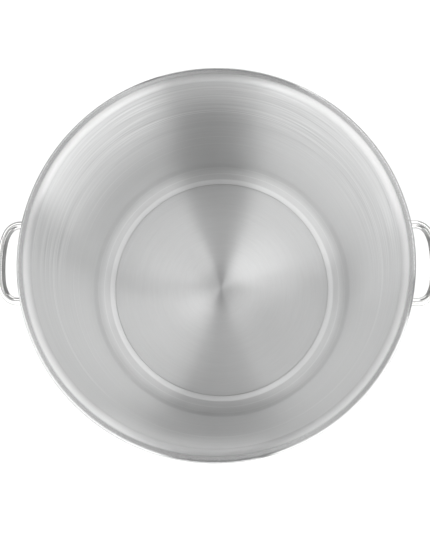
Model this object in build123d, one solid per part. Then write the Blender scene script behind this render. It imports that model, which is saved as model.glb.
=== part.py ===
from build123d import *
from math import asin, cos, degrees, pi, radians, sin
import os

# A forty-litre brew kettle: a drawn stainless pot with a rolled rim, a clad base, and two rod
# handles welded to pads on the wall.
#
# Frame: +Z up, the origin at the centre of the face the kettle stands on, the handles along +X and
# -X. Every length is in millimetres and every angle in degrees.

# ---- Driving dimensions -------------------------------------------------------------------------

# Pot, pressed and ironed from one round blank of sheet.
inner_radius = 200.0  # inside of the straight wall
inner_depth = 325.0  # from the floor up to the middle of the rolled rim
sheet = 1.0  # thickness of the wall, the floor and the curl

# Floor and corner. The middle of the floor is a low plateau with a shallow gutter around it.
plateau_radius = 168.6  # where the plateau starts to fall to the gutter
step_radius = 1.5  # both bends of the small step down into the gutter
step_turn = 43.0
corner_radius = 26.0  # inside bend from the gutter up to the wall

# Rim: the wall flares outwards, runs out as a rising ledge and curls under into a hollow bead.
flare_radius = 6.5  # on the sheet's upper side
ledge_rise = 10.0
bead_radius = 3.5  # outside of the curl
bead_turn = 255.0  # how far round the curl goes from the end of the ledge
rim_overhang = 14.5  # from the inside of the wall to the outermost line of the bead

# Clad base: an aluminium disc sealed under the floor by a stainless cap.
core_thickness = 5.0
cap_sheet = 0.8
cap_radius = 173.5  # outside of the cap's upright edge
cap_bend_radius = 3.2  # inside of the cap's bottom corner

# Handles: one length of rod each, bent in a flat loop whose two legs end on their pads.
rod_diameter = 9.5
handle_drop = 42.0  # from the middle of the bead down to the rod's centreline
handle_half_width = 44.4  # from the loop's middle to the centreline of each leg
handle_reach = 247.5  # from the kettle's axis to the grip's centreline
bend_radius = 17.0  # tight bend at the end of each leg
bend_turn = 62.0
easing_radius = 40.0  # longer bend that eases into the bowed grip
easing_turn = 20.0

# Pads: small plates rolled to the wall and spot-welded to it, one under each end of a handle.
pad_height = 46.0
pad_width = 26.0
pad_sheet = 2.0
pad_corner_radius = 9.0
pad_edge_break = 0.6
spot_up = 15.0  # spot welds above and below the rod
spot_across = 6.0  # and to either side of it
spot_radius = 2.4
spot_depth = 0.4

# Welds: a fillet run round the foot of each leg.
weld_leg = 3.4  # on the pad; its face slopes at 45 degrees

# ---- Worked-out places --------------------------------------------------------------------------

outer_radius = inner_radius + sheet
floor_top = cap_sheet + core_thickness + sheet
gutter_top = floor_top - 2 * step_radius * (1 - cos(radians(step_turn)))
bead_height = floor_top + inner_depth
handle_height = bead_height - handle_drop
rod_radius = rod_diameter / 2
pad_outer_radius = outer_radius + pad_sheet
pad_angle = degrees(asin(handle_half_width / pad_outer_radius))
leg_foot = pad_outer_radius * cos(radians(pad_angle))  # where a leg's centreline meets its pad

# The straight wall ends where the flare starts, below the ledge and the bead.
rise = radians(ledge_rise)
bend_difference = flare_radius - bead_radius
ledge_length = (rim_overhang - flare_radius - bead_radius + bend_difference * sin(rise)) / cos(rise)
wall_bottom = gutter_top + corner_radius
wall_top = bead_height - ledge_length * sin(rise) - bend_difference * cos(rise)


def bent_line(start, heading, moves, inset=0.0):
    """Edges of a line that runs straight and bends by turns, from a start point and a heading angle.

    A move is (length,) for a straight run or (radius, turn) for a bend, with a turn to the left
    positive. An inset line lies that far to the right of the one the moves describe, so its
    left-hand bends are larger and its right-hand bends smaller.
    """
    side = radians(heading - 90)
    point = Vector(start[0] + inset * cos(side), start[1] + inset * sin(side))
    edges = []
    for move in moves:
        direction = Vector(cos(radians(heading)), sin(radians(heading)))
        if len(move) == 1:
            edges.append(Line(point, point + direction * move[0]))
        else:
            radius, turn = move
            edges.append(JernArc(point, direction, radius + (inset if turn > 0 else -inset), turn))
            heading += turn
        point = edges[-1] @ 1
    return edges


def sheet_section(start, moves, thickness):
    """Section of a bent sheet whose one face starts on the axis and follows the moves."""
    near = bent_line(start, 0, moves)
    far = bent_line(start, 0, moves, inset=thickness)
    ends = [Line(near[0] @ 0, far[0] @ 0), Line(near[-1] @ 1, far[-1] @ 1)]
    return make_face(near + far + ends)


def turned(section):
    """The solid that a section drawn as radius against height makes round the Z axis."""
    return revolve(Plane.XZ * section, axis=Axis.Z)


def at_azimuth(shape, angle):
    """A shape made over the +X axis, turned round the kettle's axis."""
    return Rot(0, 0, angle) * shape


def round_drum(radius):
    """A drum round the kettle's axis at the handles' height, taller than anything on the wall."""
    return Pos(0, 0, handle_height) * Cylinder(radius, 2 * pad_height)


# ---- Pot ----------------------------------------------------------------------------------------


def pot_section():
    """The pot's sheet, from the centre of the floor to the raw edge inside the curl."""
    gutter = inner_radius - corner_radius - plateau_radius - 2 * step_radius * sin(radians(step_turn))
    moves = [
        (plateau_radius,),
        (step_radius, -step_turn),
        (step_radius, step_turn),
        (gutter,),
        (corner_radius, 90),
        (wall_top - wall_bottom,),
        (flare_radius, ledge_rise - 90),
        (ledge_length,),
        (bead_radius, -bead_turn),
    ]
    return sheet_section((0, floor_top), moves, sheet)


# ---- Clad base ----------------------------------------------------------------------------------


def cap_section():
    """The base cap: a flat dish whose upright edge meets the underside of the gutter."""
    foot = cap_radius - cap_sheet - cap_bend_radius
    upright = gutter_top - sheet - cap_sheet - cap_bend_radius
    moves = [(foot,), (cap_bend_radius, 90), (upright,)]
    return sheet_section((0, cap_sheet), moves, cap_sheet)


def core_section():
    """The aluminium core, which fills the space between the cap and the floor."""
    core_radius = cap_radius - cap_sheet
    corners = [(0, 0), (core_radius, 0), (core_radius, floor_top), (0, floor_top)]
    block = make_face(Polyline(*corners, close=True))
    pieces = (block - pot_section() - cap_section()).faces()
    return pieces.sort_by(SortBy.AREA)[-1]


# ---- Handles ------------------------------------------------------------------------------------


def handle_rod():
    """The +X handle: a rod swept round its loop, its ends cut to the curve of the pads."""
    ease_start = radians(bend_turn)
    ease_end = radians(bend_turn + easing_turn)
    grip_turn = 90 - bend_turn - easing_turn
    width_used = bend_radius * (1 - cos(ease_start)) + easing_radius * (cos(ease_start) - cos(ease_end))
    grip_radius = (handle_half_width - width_used) / cos(ease_end)
    reach_used = bend_radius * sin(ease_start) + easing_radius * (sin(ease_end) - sin(ease_start))
    reach_used += grip_radius * (1 - sin(ease_end))
    leg_start = leg_foot - rod_diameter
    leg = (handle_reach - reach_used - leg_start,)
    half = [(bend_radius, -bend_turn), (easing_radius, -easing_turn), (grip_radius, -grip_turn)]
    loop = bent_line((leg_start, handle_half_width), 0, [leg, *half, *reversed(half), leg])
    path = Pos(0, 0, handle_height) * Wire(loop)
    section = Plane(origin=path @ 0, z_dir=path % 0) * Circle(rod_radius)
    return sweep(section, path=path) - round_drum(pad_outer_radius)


def pad_plate():
    """The pad over +X: a rounded plate rolled to the wall's radius, with a dimple at each spot weld."""
    blank = extrude(Plane.YZ * RectangleRounded(pad_width, pad_height, pad_corner_radius), 2 * outer_radius)
    plate = Pos(0, 0, handle_height) * blank & round_drum(pad_outer_radius) - round_drum(outer_radius)
    outer_face = plate.faces().filter_by(GeomType.CYLINDER).sort_by(lambda face: face.center().X)[-1]
    plate = chamfer(outer_face.edges(), pad_edge_break)
    ball_radius = (spot_radius**2 + spot_depth**2) / (2 * spot_depth)
    ball_reach = pad_outer_radius + ball_radius - spot_depth
    for up in (-spot_up, spot_up):
        for across in (-spot_across, spot_across):
            ball = Pos(ball_reach, 0, handle_height + up) * Sphere(ball_radius)
            plate -= at_azimuth(ball, degrees(asin(across / pad_outer_radius)))
    return plate


def leg_weld(side):
    """The weld round one leg of the +X handle: a cone on the pad's face, less the rod in it."""
    cone_size = rod_radius + 2 * weld_leg  # radius and height, at one weld leg below the pad's face
    outwards = Rot(0, 90, 0)
    cone = outwards * Cone(cone_size, 0, cone_size, align=(Align.CENTER, Align.CENTER, Align.MIN))
    cone = at_azimuth(Pos(pad_outer_radius - weld_leg, 0, handle_height) * cone, side * pad_angle)
    leg = outwards * Cylinder(rod_radius, 4 * rod_diameter)
    leg = Pos(leg_foot, side * handle_half_width, handle_height) * leg
    return cone - leg - round_drum(pad_outer_radius)


# ---- Kettle -------------------------------------------------------------------------------------

nodes = {
    "kettle_shell": turned(pot_section()),
    "base_core": turned(core_section()),
    "base_cap": turned(cap_section()),
}
for side_name, azimuth in (("right", 0), ("left", 180)):
    nodes[f"{side_name}_handle"] = at_azimuth(handle_rod(), azimuth)
    for end_name, rearward in (("rear", 1), ("front", -1)):
        side = rearward if azimuth == 0 else -rearward
        nodes[f"{side_name}_{end_name}_handle_pad"] = at_azimuth(pad_plate(), azimuth + side * pad_angle)
        nodes[f"{side_name}_{end_name}_handle_weld"] = at_azimuth(leg_weld(side), azimuth)

os.makedirs("parts", exist_ok=True)
for name, shape in nodes.items():
    solids = shape.solids()
    export_step(solids[0] if len(solids) == 1 else Compound(solids), f"parts/{name}.step")
    size = shape.bounding_box().size
    print(f"{name}: {len(solids)} solid, {shape.volume:.0f} mm3, {size.X:.1f} x {size.Y:.1f} x {size.Z:.1f}")

liquid = pi * inner_radius**2 * inner_depth / 1e6
print(f"straight wall from {wall_bottom:.3f} to {wall_top:.3f}, about {liquid:.1f} litres to the rim")
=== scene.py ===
# %% [markdown]
# # A forty-litre brew kettle
#
# The real kettle is a drawn stainless pot: one round blank of sheet is pressed into a deep cup, its
# rim is rolled outwards and under into a bead, a clad base is pressed on underneath, and two rod
# handles are welded to small pads just below the rim. This lesson rebuilds those pieces as clean
# meshes, gives each one the finish that its making leaves behind, and lights them as a studio would.
#
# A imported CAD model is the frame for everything. It says where each piece is, so nothing here is
# placed by eye. Lengths are in metres.

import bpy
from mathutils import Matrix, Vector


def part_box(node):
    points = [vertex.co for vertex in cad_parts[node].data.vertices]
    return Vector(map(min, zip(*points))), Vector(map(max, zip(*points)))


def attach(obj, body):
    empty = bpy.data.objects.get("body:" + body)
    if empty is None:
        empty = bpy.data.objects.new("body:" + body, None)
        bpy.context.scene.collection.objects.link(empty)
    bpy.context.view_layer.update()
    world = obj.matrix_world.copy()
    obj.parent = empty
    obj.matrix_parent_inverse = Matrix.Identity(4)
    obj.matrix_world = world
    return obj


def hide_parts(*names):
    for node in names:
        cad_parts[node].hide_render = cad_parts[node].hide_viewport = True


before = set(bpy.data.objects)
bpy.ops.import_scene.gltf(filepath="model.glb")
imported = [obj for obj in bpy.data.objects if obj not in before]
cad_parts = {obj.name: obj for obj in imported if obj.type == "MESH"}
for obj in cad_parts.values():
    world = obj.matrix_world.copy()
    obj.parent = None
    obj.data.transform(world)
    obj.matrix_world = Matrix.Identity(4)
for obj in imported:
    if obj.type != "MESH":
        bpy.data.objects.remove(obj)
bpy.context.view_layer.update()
print("pieces in the frame:", ", ".join(sorted(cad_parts)))

# %% [markdown]
# ## Measures
#
# A lathe part is known once its section is known, and most of the section can be read off the boxes
# of the CAD pieces: the outermost line of the rim, the heights of the base, the thickness of the
# rods. What a box can't say, such as the radius of a bend, is named here once, in millimetres
# turned to metres, and every shape below is worked out from these few values.

# %% Measures of the pot
import math

import bmesh
import bpy
from mathutils import Matrix, Vector

MM = 0.001

shell_low, shell_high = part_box("kettle_shell")
_, cap_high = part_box("base_cap")
core_low, core_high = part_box("base_core")

sheet = 1.0 * MM
rim_overhang = 14.5 * MM
bead_radius = 3.5 * MM
bead_turn = 255
flare_radius = 6.5 * MM
ledge_rise = 10
corner_radius = 26.0 * MM
plateau_radius = 168.6 * MM
step_radius = 1.5 * MM
step_turn = 43

rim_radius = shell_high.x
inner_radius = rim_radius - rim_overhang
outer_radius = inner_radius + sheet
bead_height = shell_high.z - bead_radius
floor_top = core_high.z + sheet
gutter_top = shell_low.z + sheet
print(f"inside {2000 * inner_radius:.1f} mm across, {1000 * (bead_height - floor_top):.1f} mm deep")

# %% Measures of the base and the handles
cap_sheet = core_low.z
cap_radius = cap_high.x
cap_bend_radius = 3.2 * MM

handle_low, handle_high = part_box("right_handle")
pad_low, pad_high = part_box("right_rear_handle_pad")

rod_radius = (handle_high.z - handle_low.z) / 2
handle_height = (handle_high.z + handle_low.z) / 2
handle_reach = handle_high.x - rod_radius
handle_half_width = handle_high.y - rod_radius
bend_radius = 17.0 * MM
bend_turn = 62
easing_radius = 40.0 * MM
easing_turn = 20

pad_sheet = 2.0 * MM
pad_width = 26.0 * MM
pad_height = pad_high.z - pad_low.z
pad_corner_radius = 9.0 * MM
pad_outer_radius = outer_radius + pad_sheet
pad_angle = math.asin(handle_half_width / pad_outer_radius)
leg_foot = pad_outer_radius * math.cos(pad_angle)
weld_leg = 3.4 * MM
loop_width = 2 * (handle_half_width + rod_radius)
print(f"handles of {2000 * rod_radius:.1f} mm rod, {1000 * loop_width:.1f} mm wide")

# %% [markdown]
# ## The camera
#
# The view is from almost straight above, a little towards the front, close enough for the far
# wall to show. The camera's place is given in rim radii from the middle of the rim, so it would suit
# a kettle of any size. Its axes start as a camera that looks straight down with the back of the
# kettle at the top of the frame, and are then tipped and rolled by a few degrees. Blender's camera
# looks along its own -Z, so those axes become the columns of its matrix.

# %% The camera
view_place = Vector((0.104, -0.456, 3.036))  # in rim radii
view_tip = math.radians(-7.51)
view_roll = math.radians(1.87)
focal_length = 41.1  # in millimetres, for a frame 36 high

camera_data = bpy.data.cameras.new("overhead_camera")
camera_data.sensor_width = 36
camera_data.lens = focal_length
straight_down = Matrix(((1, 0, 0), (0, -1, 0), (0, 0, -1)))
turned = Matrix.Rotation(view_roll, 3, "Y") @ Matrix.Rotation(view_tip, 3, "X") @ straight_down
right, down, ahead = turned
camera_axes = Matrix((right, -down, -ahead)).transposed().to_4x4()
rim_middle = Vector((0, 0, bead_height))
camera = bpy.data.objects.new("overhead_camera", camera_data)
camera.matrix_world = Matrix.Translation(rim_middle + view_place * rim_radius) @ camera_axes
bpy.context.scene.collection.objects.link(camera)
bpy.context.scene.camera = camera
print(f"camera {camera.location.z:.3f} m above the floor")

# %% [markdown]
# ## The studio
#
# Bare steel has almost no colour of its own: it shows the room. So the room is built with care.
# Rows of softboxes, which are area lights, stand round the kettle and face it. Each row is given by
# the angles at which the kettle sees it: from one azimuth to another, about an elevation. Azimuth 0
# is along +X, at the right of the frame, and 90 is behind the kettle. The gaps between the rows
# matter as much as the lights, because they are what the metal shows as its dark sectors. A flat
# panel high up covers more azimuth along its top than along its foot, so each row is cut into
# narrow panels, which keeps its ends upright. The rows are set the way studio lights are, in half
# stops: two half stops down is half as bright.

# %% Softboxes
studio_radius = 3.0
studio_middle = Vector((0, 0, 0.3))
widest_panel = 20  # degrees of azimuth
brightest = 4.0


def softbox(name, azimuth, span, elevation, high, brightness):
    """One glowing panel, with its place and its size in degrees."""
    light = bpy.data.lights.new(name, "AREA")
    light.shape = "RECTANGLE"
    light.size = 2 * studio_radius * math.tan(math.radians(high / 2))
    ring_radius = studio_radius * math.cos(math.radians(elevation))
    light.size_y = 2 * ring_radius * math.tan(math.radians(span / 2))
    light.energy = brightness * math.pi * light.size * light.size_y
    swing = Matrix.Rotation(math.radians(azimuth), 4, "Z")
    swing = swing @ Matrix.Rotation(math.radians(-elevation), 4, "Y")
    facing = Matrix.Translation((studio_radius, 0, 0)) @ Matrix.Rotation(math.pi / 2, 4, "Y")
    panel = bpy.data.objects.new(name, light)
    panel.matrix_world = Matrix.Translation(studio_middle) @ swing @ facing
    panel.visible_camera = False
    bpy.context.scene.collection.objects.link(panel)


def softbox_row(name, start, end, elevation, high, half_stops):
    """Equal panels side by side, from one azimuth to another, so many half stops down."""
    brightness = brightest * 2 ** (-half_stops / 2)
    panels = math.ceil((end - start) / widest_panel)
    span = (end - start) / panels
    for number in range(panels):
        middle = start + (number + 0.5) * span
        softbox(f"{name}_{number + 1}", middle, span, elevation, high, brightness)
    print(f"{name}: {panels} panels of {span:.1f} degrees")


# name, first and last azimuth, elevation, height in degrees, half stops under the brightest
softbox_row("left_low", 182, 240, 7.5, 15, 1)
softbox_row("front_low", 240, 283, 7.5, 15, 0)
softbox_row("right_low", 287, 350, 15, 29, 0)
softbox_row("back_low", 62, 106, 7.5, 15, 1)
softbox_row("left_wall", 162, 252, 30, 20, 1)
softbox_row("rear_left_wall", 112, 160, 37.5, 15, 1)
softbox_row("right_wall", 4, 70, 37.5, 15, 0)
softbox_row("left_shoulder", 182, 252, 46.5, 13, 3)
softbox_row("rear_left_shoulder", 118, 176, 52.5, 15, 5)
softbox_row("right_shoulder", 292, 362, 46.5, 13, 3)
softbox_row("left_key", 182, 244, 60, 14, 2)
softbox_row("right_key", 292, 362, 60, 14, 2)
softbox_row("left_roof", 132, 252, 72, 10, 4)
softbox_row("right_roof", 12, 74, 67.5, 15, 3)
softbox_row("rear_roof", 102, 118, 75, 28, 3)

# %% [markdown]
# ## The air and the floor
#
# Between the softboxes the room is an even dim grey, which keeps the dark sectors from going black.
# The kettle stands on a board that is wide enough to reach the horizon. The plain "Standard" view
# transform is used, because the filmic one would turn the bright board grey.

# %% World and floor
air_grey = 0.5
world = bpy.data.worlds.new("studio_air")
world.use_nodes = True
world.node_tree.nodes["Background"].inputs["Color"].default_value = (air_grey, air_grey, air_grey, 1)
bpy.context.scene.world = world
bpy.context.scene.view_settings.view_transform = "Standard"

floor_half = 30.0
floor_bm = bmesh.new()
bmesh.ops.create_grid(floor_bm, x_segments=1, y_segments=1, size=floor_half)
floor_mesh = bpy.data.meshes.new("studio_floor")
floor_bm.to_mesh(floor_mesh)
floor_bm.free()
floor = bpy.data.objects.new("studio_floor", floor_mesh)
bpy.context.scene.collection.objects.link(floor)
print(f"floor {2 * floor_half:.0f} m across")

# %% [markdown]
# ## A pen that draws by moving
#
# Sheet and rod are both bent along a line: so far straight, then so far round a bend. One helper can
# follow such a line for either, because Blender's spin operator extrudes whatever it is given. A
# single point spun round a bend leaves a drawn arc, and a ring of edges leaves a bent tube. Spun by
# no angle but with an offset, it makes the straight runs. The line lies in a plane whose normal is
# the axis, and a bend with a positive angle turns left.

# %% The pen
def follow(bm, geometry, point, direction, axis, moves):
    """Extrudes geometry along runs (length, pieces) and bends (radius, degrees, pieces)."""
    point, direction, axis = Vector(point), Vector(direction), Vector(axis)
    for move in moves:
        if len(move) == 2:
            length, pieces = move
            way = {"cent": point, "dvec": direction * (length / pieces), "angle": 0}
            point = point + direction * length
        else:
            radius, degrees, pieces = move
            angle = math.radians(degrees)
            centre = point + axis.cross(direction) * math.copysign(radius, angle)
            way = {"cent": centre, "dvec": (0, 0, 0), "angle": angle}
            turn = Matrix.Rotation(angle, 3, axis)
            point = centre + turn @ (point - centre)
            direction = turn @ direction
        made = bmesh.ops.spin(bm, geom=geometry, axis=axis, steps=pieces, **way)
        geometry = made["geom_last"]
    return geometry


def beside(moves, distance):
    """The same line, drawn so far to its right: left bends grow and right bends shrink."""
    wider = []
    for move in moves:
        if len(move) == 3:
            move = (move[0] + math.copysign(distance, move[1]), *move[1:])
        wider.append(move)
    return wider


# %% [markdown]
# ## The lathe
#
# A pot, a cap and a disc are all turned shapes. The pen draws both faces of the bent sheet as one
# open wire that starts and ends on the axis, and a full spin about Z, welded to itself, gives a
# closed skin. The two poles are merged, and the normals are recalculated once the shape is closed,
# because the spin's direction decides which way they come out.

# %% The lathe and the finishing of a mesh
TURNS = 288  # facets round the kettle
UP = Vector((0, 0, 1))
SECTION_NORMAL = (0, -1, 0)  # makes a left bend turn from outwards to upwards
POLE_GAP = 0.001 * MM  # vertices nearer than this become one


def full_turn(bm, steps):
    """Spins everything drawn so far once round the Z axis."""
    drawn = bm.verts[:] + bm.edges[:]
    bmesh.ops.spin(
        bm, geom=drawn, cent=(0, 0, 0), axis=UP, angle=math.tau, steps=steps, use_merge=True
    )


def lathe(bm):
    """Turns everything drawn so far into a skin that is closed at its poles."""
    full_turn(bm, TURNS)
    bmesh.ops.remove_doubles(bm, verts=bm.verts[:], dist=POLE_GAP)
    bmesh.ops.recalc_face_normals(bm, faces=bm.faces[:])


def finished(bm, name, crease=30):
    """Makes an object of a bmesh, smooth apart from edges sharper than the crease angle."""
    mesh = bpy.data.meshes.new(name)
    bm.to_mesh(mesh)
    bm.free()
    for polygon in mesh.polygons:
        polygon.use_smooth = True
    mesh.set_sharp_from_angle(angle=math.radians(crease))
    piece = bpy.data.objects.new(name, mesh)
    bpy.context.scene.collection.objects.link(piece)
    triangles = sum(len(polygon.vertices) - 2 for polygon in mesh.polygons)
    print(f"{name}: {triangles} triangles")
    return piece


def bent_sheet(bm, height, moves, thickness):
    """Draws both faces of a sheet that starts on the axis at a height, and its raw edge."""
    ends = []
    for level, line in ((height, moves), (height - thickness, beside(moves, thickness))):
        start = bmesh.ops.create_vert(bm, co=(0, 0, level))["vert"]
        last = follow(bm, start, (0, 0, level), (1, 0, 0), SECTION_NORMAL, line)
        ends += [part for part in last if isinstance(part, bmesh.types.BMVert)]
    bmesh.ops.contextual_create(bm, geom=ends)


# %% [markdown]
# ## The pot
#
# The floor of a drawn pot is never one flat disc. The middle is a low plateau where the clad base is
# pressed against it, then the sheet steps down by less than a millimetre into a shallow gutter, and
# the gutter runs into the large bend that the drawing die leaves between floor and wall. At the
# top the wall flares, runs outwards as a ledge that a lid can sit on, and is curled under, so that
# its raw edge is hidden inside a hollow bead.

# %% The pot
rise = math.radians(ledge_rise)
step_reach = 2 * step_radius * math.sin(math.radians(step_turn))
gutter = inner_radius - corner_radius - plateau_radius - step_reach
bend_difference = flare_radius - bead_radius
ledge = (rim_overhang - flare_radius - bead_radius + bend_difference * math.sin(rise)) / math.cos(rise)
wall_bottom = gutter_top + corner_radius
wall_top = bead_height - ledge * math.sin(rise) - bend_difference * math.cos(rise)

pot_moves = [
    (plateau_radius, 24),
    (step_radius, -step_turn, 4),
    (step_radius, step_turn, 4),
    (gutter, 2),
    (corner_radius, 90, 20),
    (wall_top - wall_bottom, 36),
    (flare_radius, ledge_rise - 90, 12),
    (ledge, 2),
    (bead_radius, -bead_turn, 30),
]
pot_bm = bmesh.new()
bent_sheet(pot_bm, floor_top, pot_moves, sheet)
lathe(pot_bm)
pot = finished(pot_bm, "pot")

# %% [markdown]
# ## The clad base
#
# A single sheet would scorch the wort, so the base is a sandwich: the pot's own floor, a thick
# aluminium disc that spreads the heat, and a stainless cap that seals it. Only the cap shows. It is
# a shallow pressed dish, so the same pen and lathe make it.

# %% The cap
cap_foot = cap_radius - cap_sheet - cap_bend_radius
cap_upright = shell_low.z - cap_sheet - cap_bend_radius
cap_moves = [(cap_foot, 24), (cap_bend_radius, 90, 10), (cap_upright, 2)]
cap_bm = bmesh.new()
bent_sheet(cap_bm, cap_sheet, cap_moves, cap_sheet)
lathe(cap_bm)
cap = finished(cap_bm, "base_cap_pressing")

# %% [markdown]
# ## The handles
#
# Each handle is one length of rod, bent cold round a former: a tight bend, an easing, then a long
# shallow bow for the fingers, and the same again backwards. The pen carries a circle of edges along
# exactly that line. The two ends are then laid on the curve of the pads that they stand on, because
# a welder grinds the rod's ends to fit.

# %% A handle
ROD_SIDES = 40


def half_handle():
    """Moves from a leg's foot to the middle of the grip."""
    ease_start, ease_end = math.radians(bend_turn), math.radians(bend_turn + easing_turn)
    width_used = bend_radius * (1 - math.cos(ease_start))
    width_used += easing_radius * (math.cos(ease_start) - math.cos(ease_end))
    grip_radius = (handle_half_width - width_used) / math.cos(ease_end)
    reach_used = bend_radius * math.sin(ease_start)
    reach_used += easing_radius * (math.sin(ease_end) - math.sin(ease_start))
    reach_used += grip_radius * (1 - math.sin(ease_end))
    return [
        (handle_reach - reach_used - leg_foot, 10),
        (bend_radius, -bend_turn, 18),
        (easing_radius, -easing_turn, 10),
        (grip_radius, bend_turn + easing_turn - 90, 8),
    ]


def handle(side):
    """The rod on the side where x has this sign."""
    bm = bmesh.new()
    outwards = Matrix.Rotation(math.pi / 2, 4, "Y")
    start = Vector((leg_foot, handle_half_width, handle_height))
    place = Matrix.Translation(start) @ outwards
    bmesh.ops.create_circle(bm, radius=rod_radius, segments=ROD_SIDES, matrix=place)
    outward_half = half_handle()
    moves = outward_half + outward_half[::-1]
    first_ring = bm.verts[:]
    last = follow(bm, bm.verts[:] + bm.edges[:], start, (1, 0, 0), UP, moves)
    last_ring = [part for part in last if isinstance(part, bmesh.types.BMVert)]
    for vert in first_ring + last_ring:
        vert.co.x = math.sqrt(pad_outer_radius**2 - vert.co.y**2)
    for ring in (first_ring, last_ring):
        bmesh.ops.contextual_create(bm, geom=ring)
    if side < 0:
        bmesh.ops.rotate(bm, verts=bm.verts[:], cent=(0, 0, 0), matrix=Matrix.Rotation(math.pi, 3, "Z"))
    bmesh.ops.recalc_face_normals(bm, faces=bm.faces[:])
    return finished(bm, ("right" if side > 0 else "left") + "_handle_rod")


handles = {"right": handle(1), "left": handle(-1)}

# %% [markdown]
# ## The pads
#
# A rod welded straight to a one-millimetre wall would tear it, so each end stands on its own small
# plate, rolled to the wall's curve and spot-welded at four points. The plate is easiest to make
# flat: a rectangle with its corners rounded by a bevel, pulled up to a thickness, its top edge
# broken by a second bevel. Cutting it by close planes gives it enough vertices to press the four
# dimples in, and only then is it wrapped round the wall.

# %% A pad
PAD_MESH = 0.6 * MM  # spacing of the cuts
pad_edge_break = 0.6 * MM
spot_up = 15.0 * MM
spot_across = 6.0 * MM
spot_radius = 2.4 * MM
spot_depth = 0.4 * MM


def cut_closely(bm, axis, reach):
    """Cuts everything by planes across one axis, from minus reach to plus reach."""
    cuts = int(reach / PAD_MESH)
    for number in range(-cuts, cuts + 1):
        everything = bm.verts[:] + bm.edges[:] + bm.faces[:]
        place = axis * number * PAD_MESH
        bmesh.ops.bisect_plane(bm, geom=everything, dist=1e-7, plane_co=place, plane_no=axis)


def flat_pad(bm):
    """A pad lying flat: x across, y up the wall, z out of it."""
    shape = Matrix.Diagonal((pad_width, pad_height, 1, 1))
    rounding = {"profile": 0.5, "material": -1}
    bmesh.ops.create_grid(bm, x_segments=1, y_segments=1, size=0.5, matrix=shape)
    corners = bm.verts[:]
    bmesh.ops.bevel(
        bm, geom=corners, affect="VERTICES", offset=pad_corner_radius, segments=12, **rounding
    )
    raised = bmesh.ops.extrude_face_region(bm, geom=bm.faces[:], use_keep_orig=True)["geom"]
    top = [part for part in raised if isinstance(part, bmesh.types.BMVert)]
    bmesh.ops.translate(bm, verts=top, vec=(0, 0, pad_sheet))
    rim = [edge for edge in bm.edges if all(vert.co.z > pad_sheet / 2 for vert in edge.verts)]
    bmesh.ops.bevel(bm, geom=rim, affect="EDGES", offset=pad_edge_break, segments=4, **rounding)
    cut_closely(bm, Vector((1, 0, 0)), pad_width / 2)
    cut_closely(bm, Vector((0, 1, 0)), pad_height / 2)


def press_spots(bm):
    """Presses a shallow round dimple at each spot weld."""
    for vert in bm.verts:
        if vert.co.z > pad_sheet * 0.99:
            off_spot = math.hypot(abs(vert.co.x) - spot_across, abs(vert.co.y) - spot_up) / spot_radius
            if off_spot < 1:
                vert.co.z -= spot_depth * (0.5 + 0.5 * math.cos(math.pi * off_spot))


def pad(name, azimuth):
    """The pad whose middle is at this angle round the wall."""
    bm = bmesh.new()
    flat_pad(bm)
    press_spots(bm)
    for vert in bm.verts:
        angle = azimuth + vert.co.x / outer_radius
        distance = outer_radius + vert.co.z
        height = handle_height + vert.co.y
        vert.co = (distance * math.cos(angle), distance * math.sin(angle), height)
    bmesh.ops.recalc_face_normals(bm, faces=bm.faces[:])
    return finished(bm, name)


# %% [markdown]
# ## The welds
#
# A fillet weld is laid as a row of small pools, each of which freezes as a crescent over the one
# before. The bead's section is drawn once and spun round the rod, and then its face is pushed in and
# out by a wave that runs round it, with each crest lagging towards the toes. The foot of the ring
# is laid on the curved pad, so the bead is as wide on the uphill side as on the other.

# %% A weld
WELD_STEPS = 216
ripples = 36
ripple_height = 0.16 * MM
ripple_lag = 0.35  # of one ripple, from the middle of the bead to its toes
weld_bulge = 0.25 * MM
sunk = 0.5 * MM  # how far the ring's hidden faces lie inside the rod and the pad


def weld_section(bm):
    """The bead's section: up its sloping face, then round the hidden side to close."""
    foot = rod_radius + weld_leg
    start = bmesh.ops.create_vert(bm, co=(foot, 0, 0))["vert"]
    slope = weld_leg * math.sqrt(2)
    upwards = Vector((-1, 0, 1)).normalized()
    last = follow(bm, start, (foot, 0, 0), upwards, SECTION_NORMAL, [(slope, 12)])
    corners = [(rod_radius - sunk, weld_leg), (rod_radius - sunk, -sunk), (foot, -sunk)]
    previous = [part for part in last if isinstance(part, bmesh.types.BMVert)][0]
    for across, up in corners:
        corner = bmesh.ops.create_vert(bm, co=(across, 0, up))["vert"][0]
        bmesh.ops.contextual_create(bm, geom=[previous, corner])
        previous = corner
    bmesh.ops.contextual_create(bm, geom=[previous, start[0]])


def weld(name, side, end):
    """The weld round the leg at y of this sign, on the handle at x of this sign."""
    bm = bmesh.new()
    weld_section(bm)
    full_turn(bm, WELD_STEPS)
    for vert in bm.verts:
        across, angle = math.hypot(vert.co.x, vert.co.y), math.atan2(vert.co.y, vert.co.x)
        climb = vert.co.z / weld_leg
        if 0 <= climb <= 1 and across > rod_radius - sunk / 2:
            middle = math.sin(math.pi * climb)
            wave = math.cos(ripples * angle - math.tau * ripple_lag * (1 - middle))
            push = (weld_bulge + ripple_height * abs(wave)) * middle
            across += push / math.sqrt(2)
            vert.co.z += push / math.sqrt(2)
        sideways = end * handle_half_width + across * math.cos(angle)
        out = math.sqrt(pad_outer_radius**2 - sideways**2) + vert.co.z
        vert.co = (side * out, side * sideways, handle_height + across * math.sin(angle))
    bmesh.ops.recalc_face_normals(bm, faces=bm.faces[:])
    return finished(bm, name, crease=60)


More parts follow.
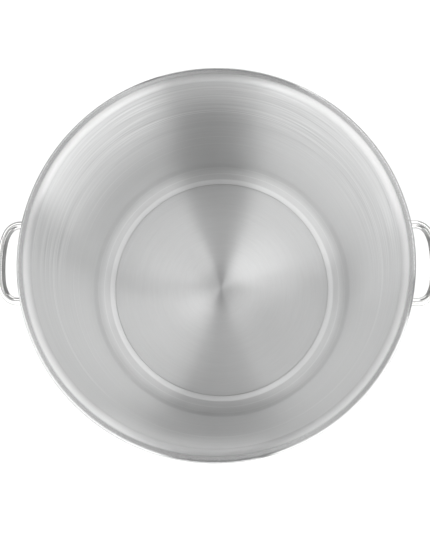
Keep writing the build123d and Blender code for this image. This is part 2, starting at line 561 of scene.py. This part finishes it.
# %% Fit the pads and the welds
pads, welds = {}, {}
for side_name, side in (("right", 1), ("left", -1)):
    for end_name, end in (("rear", side), ("front", -side)):
        place = f"{side_name}_{end_name}_handle"
        azimuth = (0 if side > 0 else math.pi) + end * pad_angle
        pads[place] = pad(place + "_plate", azimuth)
        welds[place] = weld(place + "_bead", side, end)

# %% [markdown]
# ## Writing materials as sums
#
# A finish is easier to read as an expression than as a web of nodes. One small class wraps an
# output socket, and adding or multiplying two of them adds the Math node that does it. Every other
# kind of node comes from a single method, which sets the node's own options before its sockets.

# %% Shader arithmetic
class Signal:
    """An output socket of a material's nodes that can be added, multiplied and so on."""

    def __init__(self, finish, socket):
        self.finish, self.socket = finish, socket

    def maths(self, operation, *values):
        return self.finish.node("Math", {"operation": operation}, dict(enumerate(values)))

    def __add__(self, other):
        return self.maths("ADD", self, other)

    def __sub__(self, other):
        return self.maths("SUBTRACT", self, other)

    def __rsub__(self, other):
        return self.maths("SUBTRACT", other, self)

    def __mul__(self, other):
        return self.maths("MULTIPLY", self, other)

    def __truediv__(self, other):
        return self.maths("DIVIDE", self, other)

    __radd__, __rmul__ = __add__, __mul__

    def root(self):
        return self.maths("SQRT", self)

    def size(self):
        return self.maths("ABSOLUTE", self)

    def at_least(self, limit):
        return self.maths("MAXIMUM", self, limit)

    def at_most(self, limit):
        return self.maths("MINIMUM", self, limit)


class Finish:
    """A material whose nodes are written as expressions."""

    def __init__(self, name, **shader_values):
        self.material = bpy.data.materials.new(name)
        self.material.use_nodes = True
        self.tree = self.material.node_tree
        self.shader = self.tree.nodes["Principled BSDF"]
        self.shade(**shader_values)
        self.place = self.node("TexCoord", {}, {}, "Object")

    def node(self, kind, settings, sockets, output=0):
        """Adds one node: its settings first, then values or links for its sockets."""
        made = self.tree.nodes.new("ShaderNode" + kind)
        for name, value in settings.items():
            setattr(made, name, value)
        for name, value in sockets.items():
            self.feed(made.inputs[name], value)
        return Signal(self, made.outputs[output])

    def feed(self, socket, value):
        if isinstance(value, Signal):
            self.tree.links.new(value.socket, socket)
        else:
            socket.default_value = value

    def shade(self, **values):
        """Sets or links sockets of the shader: base_color stands for Base Color."""
        for socket, value in values.items():
            self.feed(self.shader.inputs[socket.replace("_", " ").title()], value)

    def noise(self, where, scale, detail=2.0, roughness=0.5):
        """Noise around 0, mostly from -0.25 to 0.25."""
        sockets = {"Vector": where, "Scale": scale, "Detail": detail, "Roughness": roughness}
        return self.node("TexNoise", {"noise_dimensions": "3D"}, sockets) - 0.5

    def rise(self, signal, edge, soft):
        """Goes smoothly from 0 to 1 as the signal passes an edge."""
        sockets = {"Value": signal, "From Min": edge - soft / 2, "From Max": edge + soft / 2}
        return self.node("MapRange", {"interpolation_type": "SMOOTHSTEP"}, sockets)

    def between(self, signal, low, high, soft):
        """Is 1 between two edges and 0 outside them."""
        return self.rise(signal, low, soft) - self.rise(signal, high, soft)

    def blend(self, amount, dark, light):
        """A colour that goes from dark to light as the amount goes from 0 to 1."""
        dark, light = ((*end, 1) if isinstance(end, tuple) else end for end in (dark, light))
        sockets = {0: amount, 6: dark, 7: light}
        return self.node("Mix", {"data_type": "RGBA", "clamp_factor": True}, sockets, 2)

    def bump(self, height, distance):
        """Bends the normal by a height in units of a distance."""
        sockets = {"Strength": 1.0, "Distance": distance, "Height": height}
        self.shade(normal=self.node("Bump", {}, sockets))


# %% [markdown]
# ## The finish that turning leaves
#
# Everything on this pot was finished while it spun: the wall was ironed and polished, the floor was
# brushed. So its lines run in circles, and they do two things. Up close they are fine grooves that
# a bump follows. From further off they make the metal anisotropic: a reflection is smeared across
# the lines and stays sharp along them, and that is what draws bright and dark sectors on the floor
# like the hands of a clock. The smear is a plain number on the shader. The lines are noise that is
# stretched all the way round the axis: it varies quickly along the sheet's section and slowly with
# the angle, which is given as a point on a circle so that it meets itself without a seam.

# %% Turned lines
class Turned(Finish):
    """A steel whose lines run round the Z axis."""

    def __init__(self, name, **shader_values):
        super().__init__(name, metallic=1.0, **shader_values)
        x, y, self.height = (self.node("SeparateXYZ", {}, {0: self.place}, axis) for axis in range(3))
        self.radius = (x * x + y * y).root()
        self.towards_x = x / (self.radius + 1 * MM)  # the millimetre keeps the pole from dividing by 0
        self.towards_y = y / (self.radius + 1 * MM)
        self.along = self.radius + self.height  # grows all the way from the floor's centre to the rim

    def lines(self, per_metre, sweep, detail=2.0, roughness=0.5):
        """Noise of so many lines in a metre of sheet, that changes so fast round the axis."""
        sockets = {0: self.towards_x * sweep, 1: self.towards_y * sweep, 2: self.along * per_metre}
        return self.noise(self.node("CombineXYZ", {}, sockets), 1.0, detail, roughness)


# %% [markdown]
# ## Satin drawn steel
#
# The pot's own finish changes along its section, so the mix is written against one measure: the
# radius plus the height, which grows steadily from the middle of the floor to the rim. The floor is
# evenly brushed and a little duller at its middle, where a brush hardly moves. The gutter round it was
# rolled hard and is smoother, and a painted highlight lightens it as a ring. The lower wall is smooth.
# The upper wall, which the ironing tool worked last, has streaks that come and go as they run round,
# mostly on the rear half, and a few sharper lines. The flare is smooth and a little darker. The ledge
# and the bead were rolled and polished smoother, and painted shade darkens them, most of all on the
# bead's outer flank. The outside of the pot is darker than the inside.
#
# First come the lines, then the zones, and last the sums that turn both into colour, roughness and
# bump. The outside is told from the inside by the distance to the middle of the corner's bend, which
# the radius alone can't do below the straight wall.

# %% Satin steel: the lines
satin = Turned("satin_drawn_stainless", anisotropic=1.0, anisotropic_rotation=0.25)
step_at = plateau_radius + floor_top
flare_starts = inner_radius + wall_top
upper_wall = inner_radius + 0.58 * shell_high.z

fine = satin.lines(900, 4.0)
patches = satin.lines(9, 1.8, detail=1.0)
coming_and_going = satin.rise(patches, -0.05, 0.3)
on_upper_wall = satin.rise(satin.along, upper_wall, 90 * MM)
on_upper_wall = on_upper_wall * (1 - satin.rise(satin.along, flare_starts, 8 * MM))
on_rear_half = satin.rise(satin.towards_y, 0.05, 0.4)
at_the_very_back = satin.rise(satin.towards_y, 0.94, 0.08)
pressed = (on_rear_half - at_the_very_back * 0.65) * (0.6 + coming_and_going * 0.7)
streaks = satin.lines(210, 1.4, detail=4.0, roughness=0.6)
streaks = streaks * (0.12 + on_upper_wall * (0.12 + pressed))

# %% Satin steel: single tool lines
half_line = 0.8 * MM
soft_line = 1.2 * MM
gutter_lines = ((21, 0.5), (36, 0.35))  # millimetres past the step, and depth
wall_lines = ((246, 1.2), (241, 0.8), (150, 0.6), (122, 0.4))  # height in millimetres, and depth

tool_lines = 0
for reach, depth in gutter_lines:
    middle = step_at + reach * MM
    line = satin.between(satin.along, middle - half_line, middle + half_line, soft_line)
    tool_lines = line * depth + tool_lines
for height, depth in wall_lines:
    middle = height * MM
    line = satin.between(satin.height, middle - half_line, middle + half_line, soft_line)
    tool_lines = line * ((0.3 + coming_and_going) * depth) + tool_lines
print(f"{len(gutter_lines) + len(wall_lines)} tool lines on the pot")

# %% Satin steel: the zones
flare_ends = flare_starts + 13.5 * MM
# The ring at the gutter: made smoother, and also lightened in colour as a painted highlight.
smooth_ring_and_painted_highlight = satin.between(satin.along, step_at + 1 * MM, step_at + 9 * MM, 3 * MM)
# The ledge and the bead: made smoother, and also darkened in colour as painted shade.
rolled_rim = satin.rise(satin.along, flare_ends, 3 * MM)
flare = satin.between(satin.along, flare_starts - 2 * MM, flare_ends, 3 * MM)
# The bead's outer flank: darkened further in colour as painted shade.
bead_flank_painted_shade = satin.rise(satin.radius, rim_radius - 0.9 * MM, 1 * MM)
brushed_floor = 1 - satin.rise(satin.along, step_at, 2 * MM)
dull_middle = 1 - satin.rise(satin.along, floor_top + 25 * MM, 50 * MM)

beyond_bend = (satin.radius - (inner_radius - corner_radius)).at_least(0.0)
below_bend = (satin.height - wall_bottom).at_most(0.0)
from_bend = (beyond_bend * beyond_bend + below_bend * below_bend).root()
outside = satin.rise(from_bend, corner_radius + sheet / 2, 0.1 * sheet)
outside = outside * (1 - rolled_rim) * (1 - flare)

# %% Satin steel: colour, roughness and bump
DARK_STEEL = (0.403, 0.405, 0.405)
BRIGHT_STEEL = (0.82, 0.823, 0.823)

# Painted highlight: the ring at the gutter is lightened in colour here.
tone = 0.71 + fine * 0.12 + streaks + tool_lines * 0.3 + smooth_ring_and_painted_highlight * 0.4
# Painted shade: the ledge, the bead and the bead's outer flank are darkened in colour here.
tone = tone - rolled_rim * 0.75 - flare * 0.14 - outside * 0.5 - bead_flank_painted_shade * 0.4
satin.shade(base_color=satin.blend(tone, DARK_STEEL, BRIGHT_STEEL))
smoother = smooth_ring_and_painted_highlight * 0.1 + rolled_rim * 0.18 - flare * 0.04 + brushed_floor * 0.06
satin.shade(roughness=0.4 + fine * 0.04 + dull_middle * 0.15 - smoother)
satin.bump(fine * 0.3 + streaks * 2 + tool_lines, 0.02 * MM)
print(f"satin steel: {len(satin.tree.nodes)} nodes")

# %% [markdown]
# ## Polished rod
#
# The handles are made from bright-drawn rod. Drawing leaves faint scratches along it, and bending
# and handling leave a cloudiness that comes and goes. It is nearly a mirror, so it shows the floor
# along both its sides and the dark between the lights along its top.

# %% Polished rod
rod_steel = Finish("polished_rod_stainless", metallic=1.0, anisotropic=0.3)
cloud = rod_steel.noise(rod_steel.place, 90, detail=3)
scratch_stretch = rod_steel.node("Mapping", {}, {"Vector": rod_steel.place, "Scale": (1, 0.15, 2.5)})
scratches = rod_steel.noise(scratch_stretch, 1400, detail=2)
rod_steel.shade(base_color=rod_steel.blend(0.5 + cloud, (0.46, 0.46, 0.455), (0.6, 0.6, 0.595)))
rod_steel.shade(roughness=0.11 + cloud * 0.1 + scratches * 0.05)
rod_steel.bump(cloud + scratches * 0.3, 0.01 * MM)

# %% [markdown]
# ## Pressed pads and their welds
#
# The pads are cut from sheet that keeps its mill finish: a fine even grain with no direction. The
# welds were brushed clean, but the heat left straw and blue films beside them. A film's colour goes
# with its distance from the bead, so the pads are tinted by how far each point is from the foot of
# the nearest leg.

# %% Heat tint
def off_the_leg(finish):
    """How far a point is from the centreline of the nearest leg, across that leg."""
    _, y, z = (finish.node("SeparateXYZ", {}, {0: finish.place}, axis) for axis in range(3))
    across = y.size() - handle_half_width
    up = z - handle_height
    return (across * across + up * up).root()


# %% Pad and weld steel
STRAW_FILM = (0.6, 0.47, 0.3)
PURPLE_FILM = (0.42, 0.36, 0.38)

pad_steel = Finish("mill_finish_stainless", metallic=1.0)
grain = pad_steel.noise(pad_steel.place, 900, detail=3)
worn = pad_steel.noise(pad_steel.place, 60, detail=3)
off_leg = off_the_leg(pad_steel)
straw = 1 - pad_steel.rise(off_leg + worn * 3 * MM, rod_radius + weld_leg + 2.4 * MM, 3.5 * MM)
pad_tone = pad_steel.blend(0.5 + grain * 0.5 + worn * 0.8, (0.56, 0.56, 0.555), (0.72, 0.72, 0.715))
pad_steel.shade(base_color=pad_steel.blend(straw * 0.55, pad_tone, STRAW_FILM))
pad_steel.shade(roughness=0.34 + grain * 0.1 + worn * 0.12)
pad_steel.bump(grain + worn * 0.5, 0.03 * MM)

weld_steel = Finish("brushed_weld_stainless", metallic=1.0)
scale_patches = weld_steel.noise(weld_steel.place, 260, detail=3)
toes = weld_steel.rise(off_the_leg(weld_steel), rod_radius + 0.75 * weld_leg, 1.6 * MM)
silver = weld_steel.blend(0.5 + scale_patches, (0.5, 0.5, 0.5), (0.72, 0.715, 0.7))
film = toes * (0.45 + scale_patches)
weld_steel.shade(base_color=weld_steel.blend(film, silver, PURPLE_FILM))
weld_steel.shade(roughness=0.26 + scale_patches * 0.25)
weld_steel.bump(scale_patches, 0.05 * MM)

# %% [markdown]
# ## The base
#
# The cap is spun and brushed like the pot, but it stands on stoves and tables, so its underside has
# dull scuffs across the turned lines, and the heat of the burner has left it a little yellower
# towards the middle. The aluminium core is turned flat and then hidden between floor and cap: it is
# greyer and more matt than the steel.

# %% Base steel and aluminium
BURNER_FILM = (0.62, 0.55, 0.44)

base_steel = Turned("scuffed_base_stainless", anisotropic=0.8, anisotropic_rotation=0.25)
base_lines = base_steel.lines(700, 3.0, detail=3.0)
scuffs = base_steel.rise(base_steel.noise(base_steel.place, 45, detail=5, roughness=0.7), 0.06, 0.08)
uneven = base_steel.noise(base_steel.place, 12) * 50 * MM
warmth = 1 - base_steel.rise(base_steel.radius + uneven, 90 * MM, 120 * MM)
base_tone = 0.5 + base_lines * 0.7 - scuffs * 0.3
base_tone = base_steel.blend(base_tone, (0.55, 0.555, 0.55), (0.74, 0.74, 0.735))
base_steel.shade(base_color=base_steel.blend(warmth * 0.35, base_tone, BURNER_FILM))
base_steel.shade(roughness=0.36 + base_lines * 0.08 + scuffs * 0.12)
base_steel.bump(base_lines - scuffs * 0.4, 0.03 * MM)

aluminium = Turned("faced_aluminium", anisotropic=0.6, anisotropic_rotation=0.25)
facing = aluminium.lines(1200, 2.0, detail=2.0)
aluminium.shade(base_color=aluminium.blend(0.5 + facing, (0.66, 0.67, 0.68), (0.8, 0.805, 0.81)))
aluminium.shade(roughness=0.42 + facing * 0.1)
aluminium.bump(facing, 0.03 * MM)

# %% [markdown]
# ## The studio floor
#
# The table is a matt white board. It has a hint of unevenness, which the strong light washes out.

# %% Floor paint
floor_paint = Finish("white_board", roughness=0.8)
mottle = floor_paint.noise(floor_paint.place, 6, detail=3)
floor_paint.shade(base_color=floor_paint.blend(0.5 + mottle, (0.76, 0.76, 0.76), (0.80, 0.80, 0.80)))
floor_mesh.materials.append(floor_paint.material)

# %% [markdown]
# ## Handing the pieces over
#
# Each new mesh takes the place of one piece of the frame, rides on the kettle's only body and is
# given the material it is made of. The core's shape was right already, so it only gets its
# aluminium.

# %% Hand over
def hand_over(piece, finish, node, slot):
    """Gives a piece its finish and its place in the kettle."""
    piece.data.materials.append(finish.material)
    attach(piece, "root")
    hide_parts(node)
    print(f"{piece.name} takes the place of {node}, in {slot}")


hand_over(pot, satin, "kettle_shell", "satin_stainless")
hand_over(cap, base_steel, "base_cap", "base_stainless")
for side_name, rod in handles.items():
    hand_over(rod, rod_steel, side_name + "_handle", "polished_stainless")
for place in pads:
    hand_over(pads[place], pad_steel, place + "_pad", "pad_stainless")
    hand_over(welds[place], weld_steel, place + "_weld", "weld_metal")

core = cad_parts["base_core"]
core.data.materials.clear()
core.data.materials.append(aluminium.material)
